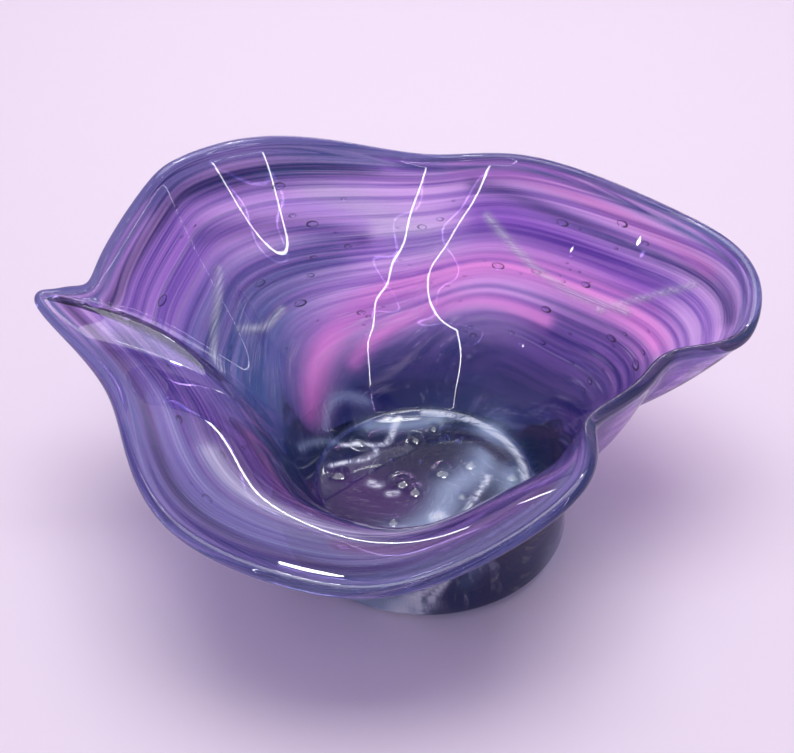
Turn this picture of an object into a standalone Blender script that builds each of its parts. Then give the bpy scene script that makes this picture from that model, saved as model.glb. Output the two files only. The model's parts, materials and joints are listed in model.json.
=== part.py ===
"""Free-form blown glass bowl, modelled as the masses of hot glass that it is put together from.

Units are metres, +Z is up. The origin is the centre of the foot's underside, where the bowl stands.
+X points at the broad right-hand lobe of the lip, +Y at the tall back wall, and the low lip is at -Y.
"""

import math

import bmesh
import bpy
import numpy as np

# Driving dimensions.
FOOT_RADIUS = 0.0420  # where the foot meets the table
HEEL_ROUNDING = 0.0060  # rounded lower corner of the body
FOOT_HEIGHT = 0.0030  # thickness of the foot, the lower part of that corner
FLOOR_RADIUS = 0.0355  # floor inside the bowl
FLOOR_HEIGHT = 0.0180  # floor above the table
FLOOR_DISC = 0.0070  # thickness of the clear disc in the floor
WALL = 0.0038  # thickness of the wall
COLOUR = 0.0015  # thickness of its inner, coloured layer
HEEL = 0.0135  # wall's thickness where it leaves the floor
HEEL_SHARE = 0.34  # share of the wall's length over which it thins
LIP_RADIUS = 0.0022  # rolled bead on the rim
LIP_DEPTH = 0.0030  # how far the bead's glass runs down the wall
FUSED_GAP = 0.0003  # clearance kept between masses that are fused on the real bowl
START_SLOPE = math.radians(58)  # how the wall leaves the floor
START_REACH = 0.42  # pull of the wall's two end directions, as shares of its chord
END_REACH = 0.52

AROUND = 128  # facets around the bowl
UP = 8  # facets up the wall
HEEL_RINGS = 4  # rings on each part of the rounded lower corner
BEAD_ANGLES = range(120, -121, -30)  # rings of the bead, from its outer seam round its tip to its inner one
SHARP = math.radians(40)  # edges sharper than this stay crisp
EAR = math.radians(188)  # the facets are packed closer in this direction, and in the opposite one
PACKING = 0.55

# The lip, anticlockwise from the right-hand lobe. Each row gives the direction in which the wall leaves
# the floor, the lip point that it rises to (x, y and height in millimetres) and its slope up there.
LIP = [
    (5, 80, 0, 70, 60),  # the right-hand lobe springs from the crook
    (15, 100, 10, 70, 45),
    (20, 105, 20, 75, 45),  # tip of the lobe
    (40, 85, 55, 85, 50),  # right shoulder
    (55, 60, 80, 85, 55),
    (70, 35, 95, 85, 50),  # back
    (90, 5, 95, 85, 55),  # dip in the back
    (110, -25, 85, 95, 65),
    (130, -55, 70, 105, 70),  # crest
    (150, -80, 55, 105, 65),
    (160, -90, 45, 100, 55),
    (170, -105, 35, 80, 40),  # the fold down into the ear
    (180, -115, 30, 70, 15),
    (185, -125, 30, 70, 0),  # tip of the pulled-out ear
    (195, -110, 10, 65, 0),
    (210, -90, -25, 65, 5),  # low flared lip
    (230, -70, -65, 60, 0),
    (245, -40, -80, 55, -5),
    (270, 0, -80, 55, -5),
    (300, 40, -60, 70, 25),  # the flare turns up
    (320, 45, -40, 70, 60),  # pinch
    (335, 50, -30, 70, 75),
    (350, 65, -15, 70, 75),  # crook before the lobe
]


def closed_spline(knots, values, period, at):
    """A smooth closed curve (continuous to its second derivative) through values at knots."""
    knots = np.asarray(knots, float)
    values = np.asarray(values, float)
    count = len(knots)
    gaps = np.diff(np.append(knots, knots[0] + period))
    system = np.zeros((count, count))
    for i in range(count):
        system[i, i - 1] = gaps[i - 1]
        system[i, i] = 2 * (gaps[i - 1] + gaps[i])
        system[i, (i + 1) % count] = gaps[i]
    steps = (np.roll(values, -1, axis=0) - values) / gaps[:, None]
    bends = np.linalg.solve(system, 6 * (steps - np.roll(steps, 1, axis=0)))
    wrapped = (np.asarray(at, float) - knots[0]) % period + knots[0]
    piece = np.searchsorted(knots, wrapped, side="right") - 1
    after = (piece + 1) % count
    gap = gaps[piece][:, None]
    right = (wrapped - knots[piece])[:, None] / gap
    left = 1 - right
    straight = left * values[piece] + right * values[after]
    bent = (left**3 - left) * bends[piece] + (right**3 - right) * bends[after]
    return straight + gap**2 / 6 * bent


def facet_turns():
    """Angles of the facets' corners around the bowl."""
    even = np.linspace(0, 2 * math.pi, AROUND, endpoint=False)
    return even - PACKING * np.sin(2 * (even - EAR)) / 2


def lip_curve(turns):
    """Lip point and slope at the lip, for each angle around the floor."""
    rows = np.array(LIP, float)
    values = np.column_stack((rows[:, 1:4] / 1000, np.radians(rows[:, 4])))
    found = closed_spline(np.radians(rows[:, 0]), values, 2 * math.pi, turns)
    return found[:, :3], found[:, 3]


def inside(turns, share):
    """The bowl's inner surface and its rate along share, which runs from 0 at the floor to 1 at the lip."""
    bead, slope = lip_curve(turns)
    outward = np.column_stack((np.cos(turns), np.sin(turns), np.zeros(len(turns))))
    up = np.array([0.0, 0.0, 1.0])
    start = outward * FLOOR_RADIUS + up * FLOOR_HEIGHT
    bead_outward = bead * [1, 1, 0]
    bead_outward /= np.linalg.norm(bead_outward, axis=1)[:, None]
    flare = bead_outward * np.cos(slope)[:, None] + up * np.sin(slope)[:, None]
    across = bead_outward * np.sin(slope)[:, None] - up * np.cos(slope)[:, None]
    lip = bead - across * WALL / 2
    chord = np.linalg.norm(lip - start, axis=1)[:, None]
    rise = outward * math.cos(START_SLOPE) + up * math.sin(START_SLOPE)
    first = start + rise * chord * START_REACH
    second = lip - flare * chord * END_REACH
    s = np.reshape(share, (-1, 1))
    point = (1 - s) ** 3 * start + 3 * (1 - s) ** 2 * s * first + 3 * (1 - s) * s**2 * second + s**3 * lip
    pace = 3 * ((1 - s) ** 2 * (first - start) + 2 * (1 - s) * s * (second - first) + s**2 * (lip - second))
    return point, pace


def section(turns, share):
    """Inner point and outward normal of the wall, the surface's direction away from the floor, square
    to the rings around it, and how far the surface goes in that direction for each unit of share."""
    point, pace = inside(turns, share)
    step = 1e-4
    ahead, _ = inside(turns + step, share)
    behind, _ = inside(turns - step, share)
    around = ahead - behind
    around /= np.linalg.norm(around, axis=1)[:, None]
    pace -= around * np.sum(pace * around, axis=1)[:, None]
    reach = np.linalg.norm(pace, axis=1)
    away = pace / reach[:, None]
    return point, np.cross(around, away), away, reach


def thickness(share):
    """The wall is thick at the heel and thins by HEEL_SHARE of the way up."""
    left = np.clip(1 - np.asarray(share) / HEEL_SHARE, 0, 1)
    return WALL + (HEEL - WALL) * left**2


def wall_ring(level, depth=0.0, outer=False, lip_gap=0.0):
    """A ring of points in the wall. Level runs from 0 at the floor to 1 where the lip's glass begins,
    depth is measured from the bowl's inside, outer takes the outside instead, and lip_gap keeps the
    ring short of the lip's glass."""
    turns = facet_turns()
    *_, reach = section(turns, np.ones(AROUND))
    share = level * (1 - (LIP_DEPTH + lip_gap) / reach)
    point, normal, *_ = section(turns, share)
    offset = thickness(share) if outer else np.full(AROUND, depth)
    return point + normal * offset[:, None]


def lip_ring(angle):
    """A ring of points on the lip's bead, angle 0 at its tip, -90 inside the bowl and 90 outside."""
    point, normal, away, _ = section(facet_turns(), np.ones(AROUND))
    turn = math.radians(angle)
    centre = point + normal * WALL / 2
    return centre + LIP_RADIUS * (away * math.cos(turn) + normal * math.sin(turn))


def flat_ring(radius, height):
    turns = facet_turns()
    return np.column_stack((radius * np.cos(turns), radius * np.sin(turns), np.full(AROUND, height)))


def floor_edge(depth):
    """Radius of the wall's lower edge, so far into the glass."""
    return FLOOR_RADIUS + depth * math.sin(START_SLOPE)


def heel_ring(height):
    """A ring on the body's rounded lower corner."""
    angle = math.acos(1 - height / HEEL_ROUNDING)
    return flat_ring(FOOT_RADIUS + HEEL_ROUNDING * math.sin(angle), height)


def loft(name, rings, material, hollow=False):
    """Joins rings of points into one closed body. A hollow one goes round to its first ring again,
    and any other is closed by a flat face at each end."""
    mesh = bmesh.new()
    loops = [[mesh.verts.new(point) for point in ring] for ring in rings]
    pairs = list(zip(loops, loops[1:]))
    if hollow:
        pairs.append((loops[-1], loops[0]))
    else:
        mesh.faces.new(loops[0])
        mesh.faces.new(loops[-1])
    for low, high in pairs:
        for i in range(AROUND):
            j = (i + 1) % AROUND
            mesh.faces.new((low[i], low[j], high[j], high[i]))
    bmesh.ops.recalc_face_normals(mesh, faces=mesh.faces)
    data = bpy.data.meshes.new(name)
    mesh.to_mesh(data)
    mesh.free()
    data.shade_smooth()
    data.set_sharp_from_angle(angle=SHARP)
    data.materials.append(material)
    bpy.context.scene.collection.objects.link(bpy.data.objects.new(name, data))


def glass(name, colour, roughness):
    material = bpy.data.materials.new(name)
    material.use_nodes = True
    shader = material.node_tree.nodes["Principled BSDF"]
    shader.inputs["Base Color"].default_value = (*colour, 1)
    shader.inputs["Roughness"].default_value = roughness
    shader.inputs["Metallic"].default_value = 0
    shader.inputs["IOR"].default_value = 1.5
    shader.inputs["Transmission Weight"].default_value = 1
    return material


def colour_layer():
    """The inner gather of swirled colour: an open skirt from the floor to the lip."""
    levels = np.linspace(0, 1, UP + 1)
    inner = [wall_ring(level, lip_gap=FUSED_GAP) for level in levels]
    outer = [wall_ring(level, depth=COLOUR, lip_gap=FUSED_GAP) for level in levels[::-1]]
    loft("colour_layer", inner + outer, glass("swirled_glass", (0.36, 0.36, 0.68), 0.03), hollow=True)


def clear_casing():
    """The outer gather of clear glass: round the colour, and under it as the bowl's thick bottom."""
    levels = np.linspace(0, 1, UP + 1)
    depth = COLOUR + FUSED_GAP
    heel = [heel_ring(height) for height in np.linspace(FOOT_HEIGHT + FUSED_GAP, HEEL_ROUNDING, HEEL_RINGS)]
    outer = [wall_ring(level, outer=True, lip_gap=FUSED_GAP) for level in levels]
    inner = [wall_ring(level, depth=depth, lip_gap=FUSED_GAP) for level in levels[::-1]]
    pocket = flat_ring(floor_edge(depth), FLOOR_HEIGHT - FLOOR_DISC - FUSED_GAP)
    loft("clear_casing", heel + outer + inner + [pocket], glass("clear_glass", (0.90, 0.90, 0.96), 0.02))


def lip_wrap():
    """The rolled bead of steel-blue glass that finishes the lip."""
    seam = [wall_ring(1), wall_ring(1, outer=True)]
    bead = [lip_ring(angle) for angle in BEAD_ANGLES]
    loft("lip_wrap", seam + bead, glass("lip_glass", (0.30, 0.40, 0.66), 0.02), hollow=True)


def floor_disc():
    """The clear, seeded disc in the bottom of the bowl. It is the floor inside."""
    radius = floor_edge(COLOUR + FUSED_GAP) - FUSED_GAP
    top_radius = FLOOR_RADIUS - FUSED_GAP / math.cos(START_SLOPE)
    shoulder = FLOOR_HEIGHT - (radius - top_radius) / math.tan(START_SLOPE)
    rings = [
        flat_ring(top_radius, FLOOR_HEIGHT),
        flat_ring(radius, shoulder),
        flat_ring(radius, FLOOR_HEIGHT - FLOOR_DISC),
    ]
    loft("floor_disc", rings, glass("floor_glass", (0.80, 0.85, 0.95), 0.02))


def foot_disc():
    """The pad of glass that was stuck on underneath and ground flat."""
    rings = [heel_ring(height) for height in np.linspace(0, FOOT_HEIGHT, HEEL_RINGS)]
    loft("foot_disc", rings, glass("foot_glass", (0.80, 0.84, 0.93), 0.05))


def main():
    for item in list(bpy.data.objects):
        bpy.data.objects.remove(item)
    colour_layer()
    clear_casing()
    lip_wrap()
    floor_disc()
    foot_disc()


main()
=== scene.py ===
"""Looks of the free-form blown glass bowl: one fused body of glass with its swirled colour and bubbles.

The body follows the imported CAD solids' surfaces. Units are metres and the frame is the CAD part's.
"""

import json
import math

import bmesh
import bpy
import numpy as np
from mathutils import Matrix, Vector

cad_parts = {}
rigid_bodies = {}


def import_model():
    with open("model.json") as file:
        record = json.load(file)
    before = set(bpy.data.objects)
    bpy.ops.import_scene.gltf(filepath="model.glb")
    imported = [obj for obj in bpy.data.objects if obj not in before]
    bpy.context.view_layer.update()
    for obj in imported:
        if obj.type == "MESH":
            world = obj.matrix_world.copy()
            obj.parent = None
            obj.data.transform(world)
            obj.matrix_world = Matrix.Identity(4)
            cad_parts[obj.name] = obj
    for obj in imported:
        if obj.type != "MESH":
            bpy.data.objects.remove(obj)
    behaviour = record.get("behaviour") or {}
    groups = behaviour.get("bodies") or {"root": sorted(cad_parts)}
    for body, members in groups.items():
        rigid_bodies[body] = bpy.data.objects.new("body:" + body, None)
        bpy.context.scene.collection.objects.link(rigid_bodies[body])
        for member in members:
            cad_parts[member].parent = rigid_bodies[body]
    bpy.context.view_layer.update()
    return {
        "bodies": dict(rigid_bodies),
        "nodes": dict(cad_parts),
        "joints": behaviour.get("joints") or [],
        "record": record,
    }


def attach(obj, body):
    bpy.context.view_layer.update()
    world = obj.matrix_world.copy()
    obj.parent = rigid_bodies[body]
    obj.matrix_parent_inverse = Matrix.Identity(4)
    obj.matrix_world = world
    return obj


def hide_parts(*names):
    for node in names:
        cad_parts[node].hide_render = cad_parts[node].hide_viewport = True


# The CAD part's driving dimensions.
FOOT_RADIUS = 0.0420
HEEL_ROUNDING = 0.0060
FLOOR_RADIUS = 0.0355
FLOOR_HEIGHT = 0.0180
WALL = 0.0038
HEEL = 0.0135
HEEL_SHARE = 0.34
LIP_RADIUS = 0.0022
LIP_DEPTH = 0.0030
START_SLOPE = math.radians(58)
START_REACH = 0.42
END_REACH = 0.52
EAR = math.radians(188)
PACKING = 0.55

# The lip, anticlockwise from the right-hand lobe: direction in which the wall leaves the floor, the lip
# point that it rises to (x, y and height in millimetres) and its slope up there.
LIP = [
    (5, 80, 0, 70, 60),  # the right-hand lobe springs from the crook
    (15, 100, 10, 70, 45),
    (20, 105, 20, 75, 45),  # tip of the lobe
    (40, 85, 55, 85, 50),  # right shoulder
    (55, 60, 80, 85, 55),
    (70, 35, 95, 85, 50),  # back
    (90, 5, 95, 85, 55),  # dip in the back
    (110, -25, 85, 95, 65),
    (130, -55, 70, 105, 70),  # crest
    (150, -80, 55, 105, 65),
    (160, -90, 45, 100, 55),
    (170, -105, 35, 80, 40),  # the fold down into the ear
    (180, -115, 30, 70, 15),
    (185, -125, 30, 70, 0),  # tip of the pulled-out ear
    (195, -110, 10, 65, 0),
    (210, -90, -25, 65, 5),  # low flared lip
    (230, -70, -65, 60, 0),
    (245, -40, -80, 55, -5),
    (270, 0, -80, 55, -5),
    (300, 40, -60, 70, 25),  # the flare turns up
    (320, 45, -40, 70, 60),  # pinch
    (335, 50, -30, 70, 75),
    (350, 65, -15, 70, 75),  # crook before the lobe
]

AROUND = 400  # facets around the body
WALL_RINGS = 72  # facets up the wall
FLOOR_RINGS = 26  # facets across the floor, and across the underside
BASE_RINGS = 8  # facets round the heel
LIP_TURNS = range(-120, 121, 12)  # rings of the bead, from its inner seam round its tip to its outer one
CENTRE = 0.03  # share of the radius that the cap in the middle of the floor takes
BASE_EDGE = 0.8  # share of the foot's radius where the rings of the underside begin
HEEL_TURN = 75  # angle of the heel's highest ring
HEEL_LEVEL = -0.2  # paint level at the heel's lowest ring
HEEL_FADE = 500  # degrees of the heel for each unit of paint level
BEAD_PACE = 9  # how fast the paint level runs on over the bead
STEP = 1e-4  # angle over which the ring's direction is measured
INNER_WAVE = 0.00004  # height of the waves inside
OUTER_WAVE = 0.00018  # and outside

# Colours of the glass.
CLEAR = (0.72, 0.48, 0.92)
LILAC = (0.56, 0.36, 0.88)
PINK = (0.96, 0.36, 0.86)
PURPLE = (0.17, 0.04, 0.50)
DEEP = (0.045, 0.02, 0.27)
NAVY = (0.008, 0.025, 0.20)
STEEL = (0.13, 0.22, 0.48)
TEAL = (0.045, 0.15, 0.40)
LAVENDER = (0.33, 0.37, 0.74)
WHITE = (0.84, 0.87, 0.97)
PLUM = (0.13, 0.04, 0.30)
MIST = (0.74, 0.68, 0.94)
ICE = (0.50, 0.64, 0.92)
RIM = (0.10, 0.16, 0.42)
RIM_SHADOW = (0.006, 0.012, 0.11)

# Strokes of colour, laid one over another. Each has its colour, strength, milkiness, half width in
# millimetres, start, end and bow. An end is the direction around the bowl in degrees and the level, from
# 0 at the floor's edge to 1 at the lip. Below 0 it lies on the floor, to -1 at its centre. The bow is how
# far the stroke's middle rises above the even climb between its ends.
STROKES = [
    (PURPLE, 0.85, 0.05, 17, (190, 0.55), (160, 0.85), 0.05),
    (TEAL, 0.95, 0.40, 22, (200, 0.25), (155, 0.50), -0.05),
    (STEEL, 0.80, 0.35, 10, (170, 0.60), (120, 0.70), -0.05),
    (LAVENDER, 0.90, 0.40, 18, (200, 0.95), (300, 1.0), -0.05),
    (NAVY, 0.90, 0.20, 15, (120, 0.05), (-30, 0.40), 0.05),
    (DEEP, 0.90, 0.10, 14, (45, 0.45), (15, 0.60), 0.0),
    (PURPLE, 0.90, 0.08, 11, (75, 0.85), (35, 0.80), 0.0),
    (NAVY, 0.95, 0.25, 24, (215, 0.05), (305, 0.10), 0.0),
    (DEEP, 0.75, 0.15, 14, (250, 0.50), (315, 0.60), 0.05),
    (DEEP, 0.90, 0.15, 9, (195, 0.90), (260, 0.55), -0.10),
    (MIST, 0.65, 0.30, 8, (120, 0.90), (90, 0.75), 0.0),
    (LILAC, 0.80, 0.05, 4, (150, 0.95), (110, 0.80), 0.0),
    (DEEP, 0.80, 0.05, 4, (155, 0.85), (110, 0.75), 0.0),
    (NAVY, 0.97, 0.05, 6, (160, 1.0), (110, 1.0), -0.05),
    (STEEL, 0.80, 0.30, 4, (130, 0.95), (105, 1.0), 0.0),
    (PINK, 0.95, 0.10, 6, (150, 0.10), (25, 0.70), 0.20),
    (PINK, 0.80, 0.10, 3, (120, 0.20), (50, 0.50), 0.10),
    (PINK, 0.80, 0.05, 3, (85, 1.0), (30, 0.95), 0.0),
    (NAVY, 0.85, 0.05, 2.5, (80, 0.95), (20, 0.95), -0.05),
    (DEEP, 0.70, 0.05, 3, (300, 0.90), (255, 0.75), 0.0),
    (PINK, 0.50, 0.05, 2, (295, 0.95), (250, 0.85), 0.0),
    (STEEL, 0.85, 0.55, 4, (245, -0.05), (265, -0.05), 0.05),
    (STEEL, 0.80, 0.60, 3, (285, 0.05), (315, 0.45), 0.0),
    # Painted shade: the navy over the floor's middle and the plum on its left stand for the shaded table seen
    # through the clear floor.
    (NAVY, 0.97, 0.25, 26, (0, -0.95), (90, -0.95), 0.0),
    (PLUM, 0.97, 0.45, 14, (195, -0.35), (240, -0.55), 0.0),
    (ICE, 0.90, 0.75, 7, (250, -0.10), (405, -0.10), -0.60),
    (ICE, 0.80, 0.75, 5, (330, -0.15), (360, -0.20), 0.0),
    (ICE, 0.75, 0.80, 4, (125, -0.10), (80, -0.15), -0.10),
    (NAVY, 0.90, 0.25, 3, (20, -0.20), (60, -0.30), 0.0),
    (ICE, 0.60, 0.80, 2.2, (120, 0.05), (150, 0.05), 0.05),
    (ICE, 0.55, 0.80, 1.6, (150, 0.0), (175, 0.10), 0.0),
]

# White wisps, laid over the strokes: strength, half width, start, end and bow, in the same units. The last
# eight lie on the floor and are painted highlights: bright loops, the arc along the floor's edge and small
# glints.
WISPS_AND_FLOOR_GLINTS = [
    (0.60, 1.3, (75, 0.85), (35, 0.70), -0.10),
    (0.55, 1.1, (40, 0.65), (30, 0.90), 0.0),
    (0.60, 1.3, (155, 0.75), (175, 0.55), 0.0),
    (0.60, 1.3, (160, 0.55), (140, 0.50), -0.05),
    (0.55, 4, (220, 0.80), (270, 0.70), 0.0),
    (0.75, 1.5, (250, 0.60), (290, 0.70), 0.05),
    (0.80, 1.2, (230, -0.10), (305, 0.60), -0.05),
    (0.90, 1.5, (250, -0.15), (315, 0.60), -0.05),
    (0.80, 1.0, (260, -0.15), (300, 0.35), 0.0),
    (0.50, 2, (20, 0.70), (10, 0.95), 0.0),
    # Painted highlights on the floor: bright loops, the arc along its edge and small glints.
    (1.0, 1.1, (150, -0.10), (105, -0.10), -0.30),
    (1.0, 1.1, (170, -0.10), (140, -0.40), -0.15),
    (1.0, 1.2, (-10, -0.05), (90, -0.05), 0.0),
    (1.0, 1.0, (290, -0.30), (360, -0.40), -0.10),
    (1.0, 2.0, (280, -0.45), (285, -0.45), 0.0),
    (1.0, 1.8, (260, -0.15), (270, -0.15), 0.0),
    (1.0, 1.6, (190, -0.50), (195, -0.55), 0.0),
    (1.0, 1.3, (215, -0.60), (220, -0.65), 0.0),
]

STROKE_STEPS = 80  # points along a stroke
SWIRL = 1.7  # how finely the streaks are drawn

# Smaller details.
SEEDS = 150  # bubbles in the wall
SEED_SIZE = (0.00035, 0.0013)  # smallest and largest radius
SEED_LEVELS = (0.3, 0.97)
FLOOR_SEEDS = 26  # bubbles under the floor
FLOOR_SEED_SIZE = (0.0004, 0.0013)
FLOOR_SPREAD = 0.9  # share of the floor's radius over which bubbles and drops are strewn
GLINTS = 16  # raised drops on the floor
GLINT_HEIGHT = 0.0011
GLINT_SIZE = (0.0012, 0.0032)
RIM_TINT = 0.95  # how far the bead takes the rim's colour
RIM_START = 0.985  # paint level where it begins to
RIM_FADE = 0.01
RIM_MILK = 0.35  # milkiness of the bead
RIM_SHADOW_LEVEL = 0.965  # a darker line runs just inside the bead
RIM_SHADOW_WIDTH = 0.018
LOW_LEVEL = 0.55  # below this the clear glass deepens to teal
BASE_MILK = 0.40  # least milkiness of the heel and underside

WINDOW_SIDES = (-120, -40)  # directions of the window's two sides, in degrees
WINDOW_LEVELS = (15, 55)  # and how high its sill and head stand, in degrees
WINDOW_RADIANCE = 24
TUBE_WIDTH = 0.009  # width of a strip light
BOWL_MIDDLE = (0, 0, 0.07)  # where the lights are aimed
WORLD_COLOUR = (0.93, 0.90, 1.0, 1)
WORLD_STRENGTH = 0.44

TABLE_FRONT = -1.6
TABLE_BACK = 0.75  # where the table begins to curve up
SWEEP = 0.35  # radius of that curve
BACKDROP_TOP = 1.6
TABLE_HALF_WIDTH = 2.2

# Sockets of the colour Mix node.
MIX_FACTOR = 0
MIX_FIRST = 6
MIX_SECOND = 7
MIX_RESULT = 2

CAMERA_PLACE = Vector((-0.0091, -0.313, 0.305))
CAMERA_DROP = math.radians(38)
CAMERA_LENS = 57.5


def closed_spline(knots, values, period, at):
    """A smooth closed curve (continuous to its second derivative) through values at knots."""
    knots = np.asarray(knots, float)
    values = np.asarray(values, float)
    count = len(knots)
    gaps = np.diff(np.append(knots, knots[0] + period))
    system = np.zeros((count, count))
    for i in range(count):
        system[i, i - 1] = gaps[i - 1]
        system[i, i] = 2 * (gaps[i - 1] + gaps[i])
        system[i, (i + 1) % count] = gaps[i]
    steps = (np.roll(values, -1, axis=0) - values) / gaps[:, None]
    bends = np.linalg.solve(system, 6 * (steps - np.roll(steps, 1, axis=0)))
    wrapped = (np.asarray(at, float) - knots[0]) % period + knots[0]
    piece = np.searchsorted(knots, wrapped, side="right") - 1
    after = (piece + 1) % count
    gap = gaps[piece][:, None]
    right = (wrapped - knots[piece])[:, None] / gap
    left = 1 - right
    straight = left * values[piece] + right * values[after]
    bent = (left**3 - left) * bends[piece] + (right**3 - right) * bends[after]
    return straight + gap**2 / 6 * bent


def lip_curve(turns):
    """Lip point and slope at the lip, for each angle around the floor."""
    rows = np.array(LIP, float)
    values = np.column_stack((rows[:, 1:4] / 1000, np.radians(rows[:, 4])))
    found = closed_spline(np.radians(rows[:, 0]), values, 2 * math.pi, turns)
    return found[:, :3], found[:, 3]


def inside(turns, share):
    """The bowl's inner surface and its rate along share, which runs from 0 at the floor to 1 at the lip."""
    bead, slope = lip_curve(turns)
    outward = np.column_stack((np.cos(turns), np.sin(turns), np.zeros(len(turns))))
    up = np.array([0.0, 0.0, 1.0])
    start = outward * FLOOR_RADIUS + up * FLOOR_HEIGHT
    bead_outward = bead * [1, 1, 0]
    bead_outward /= np.linalg.norm(bead_outward, axis=1)[:, None]
    flare = bead_outward * np.cos(slope)[:, None] + up * np.sin(slope)[:, None]
    across = bead_outward * np.sin(slope)[:, None] - up * np.cos(slope)[:, None]
    lip = bead - across * WALL / 2
    chord = np.linalg.norm(lip - start, axis=1)[:, None]
    rise = outward * math.cos(START_SLOPE) + up * math.sin(START_SLOPE)
    first = start + rise * chord * START_REACH
    second = lip - flare * chord * END_REACH
    s = np.reshape(share, (-1, 1))
    point = (1 - s) ** 3 * start + 3 * (1 - s) ** 2 * s * first + 3 * (1 - s) * s**2 * second + s**3 * lip
    pace = 3 * ((1 - s) ** 2 * (first - start) + 2 * (1 - s) * s * (second - first) + s**2 * (lip - second))
    return point, pace


def section(turns, share):
    """Inner point and outward normal of the wall, the surface's direction away from the floor, square
    to the rings around it, and how far the surface goes in that direction for each unit of share."""
    point, pace = inside(turns, share)
    ahead, _ = inside(turns + STEP, share)
    behind, _ = inside(turns - STEP, share)
    around = ahead - behind
    around /= np.linalg.norm(around, axis=1)[:, None]
    pace -= around * np.sum(pace * around, axis=1)[:, None]
    reach = np.linalg.norm(pace, axis=1)
    away = pace / reach[:, None]
    return point, np.cross(around, away), away, reach


def thickness(share):
    """Thick at the heel, and thinning up the wall."""
    left = np.clip(1 - np.asarray(share) / HEEL_SHARE, 0, 1)
    return WALL + (HEEL - WALL) * left**2


def wall_share(turns, level):
    """Level 1 is where the lip's bead begins."""
    *_, reach = section(turns, np.ones(len(turns)))
    return level * (1 - LIP_DEPTH / reach)


def wave(turns, level, phase):
    """Slow waves left in the wall by the swinging and pulling of the hot glass. They die out at both ends."""
    slow = np.sin(3 * turns + 5 * level + phase) + 0.8 * np.sin(5 * turns - 9 * level + 2 * phase)
    quick = 0.5 * np.sin(9 * turns + 14 * level + 3 * phase)
    quick += 0.35 * np.sin(16 * turns - 23 * level - phase)
    return (slow + quick) * math.sin(math.pi * min(level, 1)) ** 0.5


def inner_ring(turns, level):
    point, normal, *_ = section(turns, wall_share(turns, level))
    return point + normal * INNER_WAVE * wave(turns, level, 0.7)[:, None]


def outer_ring(turns, level):
    share = wall_share(turns, level)
    point, normal, *_ = section(turns, share)
    return point + normal * (thickness(share) + OUTER_WAVE * wave(turns, level, 2.1))[:, None]


def lip_ring(turns, angle):
    """A ring on the lip's bead, angle 0 at its tip, -90 inside the bowl and 90 outside."""
    point, normal, away, _ = section(turns, np.ones(len(turns)))
    turn = math.radians(angle)
    return point + normal * WALL / 2 + LIP_RADIUS * (away * math.cos(turn) + normal * math.sin(turn))


def flat_ring(turns, radius, height):
    return np.column_stack((radius * np.cos(turns), radius * np.sin(turns), np.full(len(turns), height)))


def surface_point(turns, levels):
    """Inner points for pairs of direction and level, with the floor below level 0."""
    wall = section(turns, wall_share(turns, np.clip(levels, 0, 1)))[0]
    floor = flat_ring(turns, FLOOR_RADIUS * (1 + np.clip(levels, -1, 0)), FLOOR_HEIGHT)
    return np.where((levels < 0)[:, None], floor, wall)


def body_rings():
    """Rings of the whole body, from the middle of the floor over the lip to the middle of the underside.
    Each comes with its paint level."""
    even = np.linspace(0, 2 * math.pi, AROUND, endpoint=False)
    turns = even - PACKING * np.sin(2 * (even - EAR)) / 2
    rings = []
    for radius in np.linspace(CENTRE, 1, FLOOR_RINGS, endpoint=False):
        rings.append((flat_ring(turns, FLOOR_RADIUS * radius, FLOOR_HEIGHT), radius - 1))
    for level in np.linspace(0, 1, WALL_RINGS + 1):
        rings.append((inner_ring(turns, level), level))
    for angle in LIP_TURNS:
        rings.append((lip_ring(turns, angle), 1 + LIP_DEPTH * math.cos(math.radians(angle)) * BEAD_PACE))
    for level in np.linspace(1, 0, WALL_RINGS + 1):
        rings.append((outer_ring(turns, level), level))
    for angle in np.linspace(HEEL_TURN, 0, BASE_RINGS):
        turn = math.radians(angle)
        edge = FOOT_RADIUS + HEEL_ROUNDING * math.sin(turn)
        height = HEEL_ROUNDING * (1 - math.cos(turn))
        rings.append((flat_ring(turns, edge, height), angle / HEEL_FADE + HEEL_LEVEL))
    for radius in np.linspace(BASE_EDGE, CENTRE, FLOOR_RINGS):
        rings.append((flat_ring(turns, FOOT_RADIUS * radius, 0), radius - 1))
    return turns, rings


def stroke_share(place, strength, width, start, end, bow):
    """How strongly a stroke covers each place. It fades away from its line."""
    nearest = np.full(len(place), np.inf)
    for point in stroke_line(start, end, bow):
        nearest = np.minimum(nearest, np.sum((place - point) ** 2, axis=1))
    return strength * np.exp(-nearest / (width / 1000) ** 2)


def paint(turns, levels):
    """Colour, milkiness and white wisps of the glass, with painted highlights on the floor, for pairs of
    direction and level.
    """
    low = np.clip(1 - levels / LOW_LEVEL, 0, 1)[:, None]
    colour = np.array(CLEAR) * (1 - low) + np.array(TEAL) * low
    milk = 0.02 + 0.15 * low[:, 0]
    wisp_and_glint = np.zeros(len(turns))
    place = surface_point(turns, levels)
    for tint, strength, milky, width, start, end, bow in STROKES:
        share = stroke_share(place, strength, width, start, end, bow)
        colour += (np.array(tint) - colour) * share[:, None]
        milk += (milky - milk) * share
    # White wisps, and on the floor painted highlights: loops, the arc along its edge and glints.
    for strength, width, start, end, bow in WISPS_AND_FLOOR_GLINTS:
        wisp_and_glint = np.maximum(wisp_and_glint, stroke_share(place, strength, width, start, end, bow))
    facing_ear = np.clip(np.cos(turns - EAR), 0, 1)
    fall = ((levels - RIM_SHADOW_LEVEL) / RIM_SHADOW_WIDTH) ** 2
    shadow = (0.35 + 0.6 * facing_ear) * np.exp(-fall)
    colour += (np.array(RIM_SHADOW) - colour) * shadow[:, None]
    return colour, milk, wisp_and_glint


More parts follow.
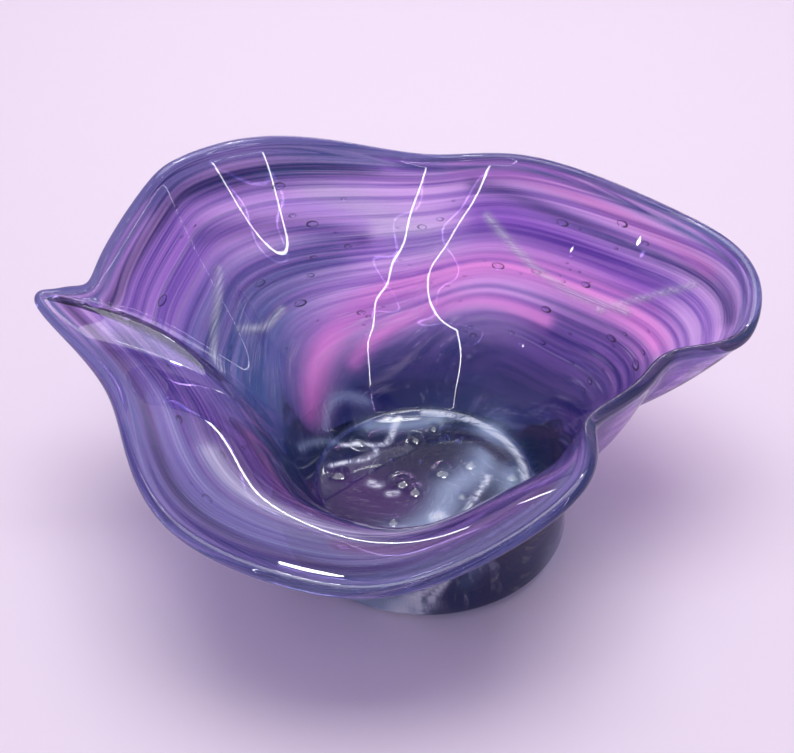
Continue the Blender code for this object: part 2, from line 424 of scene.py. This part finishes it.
def painted_rings(turns, ring_levels):
    """What paint() gives for every point of the rings. Rings at the same level share theirs."""
    found, order = np.unique(np.round(ring_levels, 5), return_inverse=True)
    colour, milk, wisp_and_glint = paint(np.tile(turns, len(found)), np.repeat(found, len(turns)))
    colour = colour.reshape(len(found), -1, 3)[order].reshape(-1, 3)
    milk = milk.reshape(len(found), -1)[order].ravel()
    return colour, milk, wisp_and_glint.reshape(len(found), -1)[order].ravel()


def stroke_line(start, end, bow):
    """Points along a stroke, on an even climb between its ends that bows up or down."""
    share = np.linspace(0, 1, STROKE_STEPS)
    turns = np.radians(start[0] + (end[0] - start[0]) * share)
    levels = start[1] + (end[1] - start[1]) * share + bow * np.sin(math.pi * share)
    return surface_point(turns, levels)


def flow(turns, levels):
    """Coordinates that run along the swirl: it turns clockwise outward, faster towards the lip."""
    swirl = np.radians(80 * levels + 330 * np.clip(levels, 0, 1.1) ** 3)
    phase = turns + swirl + 0.25 * np.sin(2 * turns + 5 * levels) + 0.12 * np.sin(5 * turns - 3 * levels)
    return np.column_stack((SWIRL * np.cos(phase), SWIRL * np.sin(phase), 1.6 * levels))


def mesh_object(name, points, faces, material):
    mesh = bpy.data.meshes.new(name)
    mesh.from_pydata(points.tolist(), [], faces)
    tidy = bmesh.new()
    tidy.from_mesh(mesh)
    bmesh.ops.recalc_face_normals(tidy, faces=tidy.faces)
    tidy.to_mesh(mesh)
    tidy.free()
    mesh.shade_smooth()
    mesh.materials.append(material)
    item = bpy.data.objects.new(name, mesh)
    bpy.context.scene.collection.objects.link(item)
    return item


def raise_glints(floor):
    """Raises low drops of glass on the floor's points."""
    chance = np.random.default_rng(5)
    radius = FLOOR_RADIUS * FLOOR_SPREAD * np.sqrt(chance.uniform(0, 1, GLINTS))
    turns = chance.uniform(0, 2 * math.pi, GLINTS)
    centres = np.column_stack((radius * np.cos(turns), radius * np.sin(turns)))
    for centre, size in zip(centres, chance.uniform(*GLINT_SIZE, GLINTS)):
        reach = np.sum((floor[:, :2] - centre) ** 2, axis=1) / size**2
        floor[:, 2] += GLINT_HEIGHT * np.exp(-reach)


def ring_faces(count):
    """Faces between rings, with a cap at each end."""
    faces = []
    for low in range(0, (count - 1) * AROUND, AROUND):
        high = low + AROUND
        for i in range(AROUND):
            j = (i + 1) % AROUND
            faces.append((low + i, low + j, high + j, high + i))
    faces.append(tuple(range(AROUND)))
    faces.append(tuple(range((count - 1) * AROUND, count * AROUND)))
    return faces


def body(material):
    """The whole bowl as one fused body, with its paint."""
    turns, rings = body_rings()
    points = np.concatenate([ring for ring, _ in rings])
    raise_glints(points[:FLOOR_RINGS * AROUND])
    item = mesh_object("glass_body", points, ring_faces(len(rings)), material)
    paint_body(item, turns, [float(level) for _, level in rings])
    return item


def paint_body(item, turns, ring_levels):
    """Stores what the glass shader reads at each point: colour, milkiness, wisps with the floor's painted
    highlights, grain and flow.
    """
    levels = np.repeat(ring_levels, AROUND)
    count = len(levels)
    colour, milk, wisp_and_glint = painted_rings(turns, np.clip(ring_levels, -1, 1))
    base = np.arange(count) > (count - (2 * BASE_RINGS + FLOOR_RINGS) * AROUND)
    milk = np.maximum(milk, BASE_MILK * base)
    bead = RIM_TINT * np.clip((levels - RIM_START) / RIM_FADE, 0, 1)[:, None]
    milk = np.maximum(milk, RIM_MILK * bead[:, 0])
    colour = colour * (1 - bead) + np.array(RIM) * bead
    grain = np.clip(0.15 + (levels - 0.1) / 0.6, 0.15, 1)
    around = np.tile(turns, len(ring_levels))
    add_attribute(item, "paint", "FLOAT_COLOR", "color", np.column_stack((colour, np.ones(count))))
    add_attribute(item, "milk", "FLOAT", "value", milk)
    # This attribute holds the white wisps and the floor's painted highlights.
    add_attribute(item, "wisp_and_glint", "FLOAT", "value", wisp_and_glint)
    add_attribute(item, "grain", "FLOAT", "value", grain)
    add_attribute(item, "flow", "FLOAT_VECTOR", "vector", flow(around, levels))


def add_attribute(item, name, kind, field, values):
    attribute = item.data.attributes.new(name, kind, "POINT")
    attribute.data.foreach_set(field, np.asarray(values, np.float32).ravel())


def bubbles(material):
    """Bubbles blown into the wall and floor. They are drawn out around the bowl."""
    chance = np.random.default_rng(11)
    turns = chance.uniform(0, 2 * math.pi, SEEDS)
    levels = chance.uniform(*SEED_LEVELS, SEEDS)
    share = wall_share(turns, levels)
    point, normal, away, _ = section(turns, share)
    depth = thickness(share) * chance.uniform(0.4, 0.6, SEEDS)
    centres = point + normal * depth[:, None]
    size = chance.uniform(0, 1, SEEDS) ** 3 * (SEED_SIZE[1] - SEED_SIZE[0]) + SEED_SIZE[0]
    floor_turns = chance.uniform(0, 2 * math.pi, FLOOR_SEEDS)
    floor_radius = FLOOR_SPREAD * FLOOR_RADIUS * np.sqrt(chance.uniform(0, 1, FLOOR_SEEDS))
    floor_height = chance.uniform(0.35, 0.85, FLOOR_SEEDS) * FLOOR_HEIGHT
    floor_centres = flat_ring(floor_turns, floor_radius, 0)
    floor_centres[:, 2] = floor_height
    floor_size = chance.uniform(*FLOOR_SEED_SIZE, FLOOR_SEEDS)
    up = np.array([0.0, 0.0, 1.0])
    out = np.array([1.0, 0.0, 0.0])
    made = bmesh.new()
    for centre, out_of_wall, along, radius in zip(centres, normal, away, size):
        add_bubble(made, centre, out_of_wall, along, radius)
    for centre, radius in zip(floor_centres, floor_size):
        add_bubble(made, centre, up, out, radius)
    mesh = bpy.data.meshes.new("bubbles")
    made.to_mesh(mesh)
    made.free()
    mesh.shade_smooth()
    mesh.materials.append(material)
    item = bpy.data.objects.new("bubbles", mesh)
    bpy.context.scene.collection.objects.link(item)
    return item


def add_bubble(made, centre, normal, away, radius):
    """One bubble, flattened in the wall's depth. Its faces look inward, since it is a hole in the glass."""
    around = np.cross(away, normal)
    frame = np.column_stack((away * radius, around * radius * 2.0, normal * radius * 0.8))
    new = bmesh.ops.create_uvsphere(made, u_segments=14, v_segments=8, radius=1)["verts"]
    for vert in new:
        vert.co = frame @ np.array(vert.co) + centre
    faces = {face for vert in new for face in vert.link_faces}
    bmesh.ops.recalc_face_normals(made, faces=list(faces))
    bmesh.ops.reverse_faces(made, faces=list(faces))


def node(tree, kind, **settings):
    made = tree.nodes.new(kind)
    for name, value in settings.items():
        setattr(made, name, value)
    return made


def mix(tree, blend, factor, first, second):
    made = node(tree, "ShaderNodeMix", data_type="RGBA", blend_type=blend)
    for socket, value in ((MIX_FACTOR, factor), (MIX_FIRST, first), (MIX_SECOND, second)):
        if isinstance(value, (float, tuple)):
            made.inputs[socket].default_value = value
        else:
            tree.links.new(value, made.inputs[socket])
    return made.outputs[MIX_RESULT]


def noise(tree, vector, scale, detail, roughness=0.55):
    made = node(tree, "ShaderNodeTexNoise")
    made.inputs["Scale"].default_value = scale
    made.inputs["Detail"].default_value = detail
    made.inputs["Roughness"].default_value = roughness
    tree.links.new(vector, made.inputs["Vector"])
    return made.outputs[0]


def ramp(tree, factor, low, high, first=(0, 0, 0, 1), last=(1, 1, 1, 1)):
    made = node(tree, "ShaderNodeValToRGB")
    made.color_ramp.elements[0].position = low
    made.color_ramp.elements[0].color = first
    made.color_ramp.elements[1].position = high
    made.color_ramp.elements[1].color = last
    tree.links.new(factor, made.inputs[0])
    return made.outputs[0]


def maths(tree, operation, first, second):
    made = node(tree, "ShaderNodeMath", operation=operation, use_clamp=True)
    for socket, value in zip(made.inputs, (first, second)):
        if isinstance(value, float):
            socket.default_value = value
        else:
            tree.links.new(value, socket)
    return made.outputs[0]


def glass_shader(name, roughness):
    material = bpy.data.materials.new(name)
    material.use_nodes = True
    shader = material.node_tree.nodes["Principled BSDF"]
    shader.inputs["Roughness"].default_value = roughness
    shader.inputs["IOR"].default_value = 1.48
    shader.inputs["Transmission Weight"].default_value = 1
    return material, material.node_tree, shader


def swirled_glass():
    """Clear glass with the strokes' colours in it, drawn out into streaks and wisps along the swirl."""
    material, tree, shader = glass_shader("swirled_glass", 0.015)
    colour = node(tree, "ShaderNodeAttribute", attribute_name="paint").outputs["Color"]
    milk = node(tree, "ShaderNodeAttribute", attribute_name="milk").outputs["Fac"]
    vector = node(tree, "ShaderNodeAttribute", attribute_name="flow").outputs["Vector"]
    grain = node(tree, "ShaderNodeAttribute", attribute_name="grain").outputs["Fac"]
    bands = ramp(tree, noise(tree, vector, 1.6, 4.0), 0.40, 0.60)
    streaks = ramp(tree, noise(tree, vector, 5.0, 6.0, 0.6), 0.42, 0.60)
    wisps = ramp(tree, noise(tree, vector, 3.4, 8.0, 0.62), 0.56, 0.72)
    threads = ramp(tree, noise(tree, vector, 11.0, 5.0), 0.60, 0.68)
    shade = mix(tree, "MULTIPLY", 1.0, colour, (0.34, 0.28, 0.60, 1))
    shaded = mix(tree, "MIX", maths(tree, "MULTIPLY", bands, grain), colour, shade)
    lit = mix(tree, "SCREEN", 1.0, shaded, (0.20, 0.10, 0.26, 1))
    streaked = mix(tree, "MIX", maths(tree, "MULTIPLY", streaks, grain), shaded, lit)
    veiled = mix(tree, "MIX", maths(tree, "MULTIPLY", wisps, 0.28), streaked, (*MIST, 1))
    threaded = mix(tree, "MIX", maths(tree, "MULTIPLY", threads, 0.25), veiled, (*WHITE, 1))
    # This attribute carries white wisps and, on the floor, painted highlights: loops, the arc along its edge
    # and glints.
    wisp_and_glint = node(tree, "ShaderNodeAttribute", attribute_name="wisp_and_glint").outputs["Fac"]
    torn = ramp(tree, noise(tree, vector, 8.0, 8.0, 0.7), 0.40, 0.60)
    ragged = maths(tree, "MULTIPLY", wisp_and_glint, maths(tree, "ADD", torn, 0.30))
    final = mix(tree, "MIX", ragged, threaded, (*WHITE, 1))
    tree.links.new(final, shader.inputs["Base Color"])
    milky = maths(tree, "ADD", maths(tree, "ADD", milk, ragged), maths(tree, "MULTIPLY", wisps, 0.20))
    clear = maths(tree, "SUBTRACT", 1.0, maths(tree, "MULTIPLY", milky, 0.85))
    tree.links.new(clear, shader.inputs["Transmission Weight"])
    return material


def bubble_glass():
    material, _, shader = glass_shader("bubble_glass", 0.0)
    shader.inputs["Base Color"].default_value = (0.96, 0.97, 1, 1)
    return material


def plain(name, colour, roughness):
    material = bpy.data.materials.new(name)
    material.use_nodes = True
    shader = material.node_tree.nodes["Principled BSDF"]
    shader.inputs["Base Color"].default_value = (*colour, 1)
    shader.inputs["Roughness"].default_value = roughness
    return material


def table():
    """A plain pale sweep: a floor that curves up into a backdrop."""
    made = bmesh.new()
    profile = [(TABLE_FRONT, 0.0), (TABLE_BACK, 0.0)]
    for angle in range(10, 91, 10):
        turn = math.radians(angle)
        profile.append((TABLE_BACK + SWEEP * math.sin(turn), SWEEP * (1 - math.cos(turn))))
    profile.append((TABLE_BACK + SWEEP, BACKDROP_TOP))
    sides = (-TABLE_HALF_WIDTH, TABLE_HALF_WIDTH)
    rows = [[made.verts.new((x, y, z)) for y, z in profile] for x in sides]
    for i in range(len(profile) - 1):
        made.faces.new((rows[0][i], rows[1][i], rows[1][i + 1], rows[0][i + 1]))
    mesh = bpy.data.meshes.new("table")
    made.to_mesh(mesh)
    made.free()
    mesh.shade_smooth()
    mesh.materials.append(plain("table_paper", (0.84, 0.72, 0.86), 0.6))
    item = bpy.data.objects.new("table", mesh)
    bpy.context.scene.collection.objects.link(item)
    return item


def softbox(name, place, target, size, radiance, only_shine=False):
    """A soft lamp aimed at a target. One that only shines lights no plain surface."""
    light = bpy.data.lights.new(name, "AREA")
    light.shape = "RECTANGLE"
    light.size, light.size_y = size
    light.energy = radiance * math.pi * size[0] * size[1]
    item = bpy.data.objects.new(name, light)
    bpy.context.scene.collection.objects.link(item)
    item.location = place
    aim = Vector(target) - Vector(place)
    item.rotation_euler = aim.to_track_quat("-Z", "Y").to_euler()
    item.visible_diffuse = not only_shine


def toward(azimuth, elevation, distance):
    """A place in a direction from the bowl, in degrees."""
    turn = math.radians(azimuth)
    lift = math.radians(elevation)
    level = math.cos(lift) * distance
    return Vector((level * math.cos(turn), level * math.sin(turn), math.sin(lift) * distance))


def tube(name, start, end, radiance):
    """A thin strip light between two directions, facing the bowl."""
    first = toward(*start, 1.0)
    last = toward(*end, 1.0)
    middle = (first + last) / 2
    along = (last - first).normalized()
    back = (middle - Vector(BOWL_MIDDLE)).normalized()
    across = back.cross(along).normalized()
    light = bpy.data.lights.new(name, "AREA")
    light.shape = "RECTANGLE"
    light.size = (last - first).length
    light.size_y = TUBE_WIDTH
    light.energy = radiance * math.pi * light.size * light.size_y
    item = bpy.data.objects.new(name, light)
    bpy.context.scene.collection.objects.link(item)
    turned = Matrix((along, across, along.cross(across))).transposed()
    item.matrix_world = Matrix.Translation(middle) @ turned.to_4x4()
    item.visible_diffuse = False


def window():
    """The bright frame of a four-cornered window, low at the front, mirrored in the back wall."""
    left, right = WINDOW_SIDES
    low, high = WINDOW_LEVELS
    corners = [(left, low), (right, low), (right, high), (left, high)]
    for number, (start, end) in enumerate(zip(corners, corners[1:] + corners[:1])):
        tube(f"window_frame_{number}", start, end, WINDOW_RADIANCE)


def light_scene():
    """A soft ceiling light, a dim room, and small lamps that the glass mirrors."""
    softbox("ceiling", place=(0.0, 0.2, 1.5), target=(0, 0, 0), size=(1.3, 1.0), radiance=3.9)
    softbox("left_lamp", toward(180, 45, 1.0), BOWL_MIDDLE, size=(0.016, 0.014), radiance=50, only_shine=True)
    softbox("back_strip", toward(85, 25, 1.0), BOWL_MIDDLE, size=(0.9, 0.03), radiance=18, only_shine=True)
    softbox("glint_lamp", toward(80, 65, 1.0), (0, 0, 0.02), size=(0.10, 0.06), radiance=60, only_shine=True)
    tube("rim_tube", (130, 65), (60, 65), radiance=22)
    window()
    world = bpy.data.worlds.new("studio")
    bpy.context.scene.world = world
    world.use_nodes = True
    background = world.node_tree.nodes["Background"]
    background.inputs["Color"].default_value = WORLD_COLOUR
    background.inputs["Strength"].default_value = WORLD_STRENGTH


def camera():
    data = bpy.data.cameras.new("camera")
    data.lens = CAMERA_LENS
    data.clip_start = 0.01
    item = bpy.data.objects.new("camera", data)
    bpy.context.scene.collection.objects.link(item)
    item.location = CAMERA_PLACE
    item.rotation_euler = (math.pi / 2 - CAMERA_DROP, 0, 0)
    bpy.context.scene.camera = item


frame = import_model()
glass_body = body(swirled_glass())
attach(glass_body, "root")
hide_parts("colour_layer", "clear_casing", "lip_wrap", "floor_disc", "foot_disc")
seeds = bubbles(bubble_glass())
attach(seeds, "root")
table()
light_scene()
camera()
bpy.context.scene.view_settings.view_transform = "Standard"
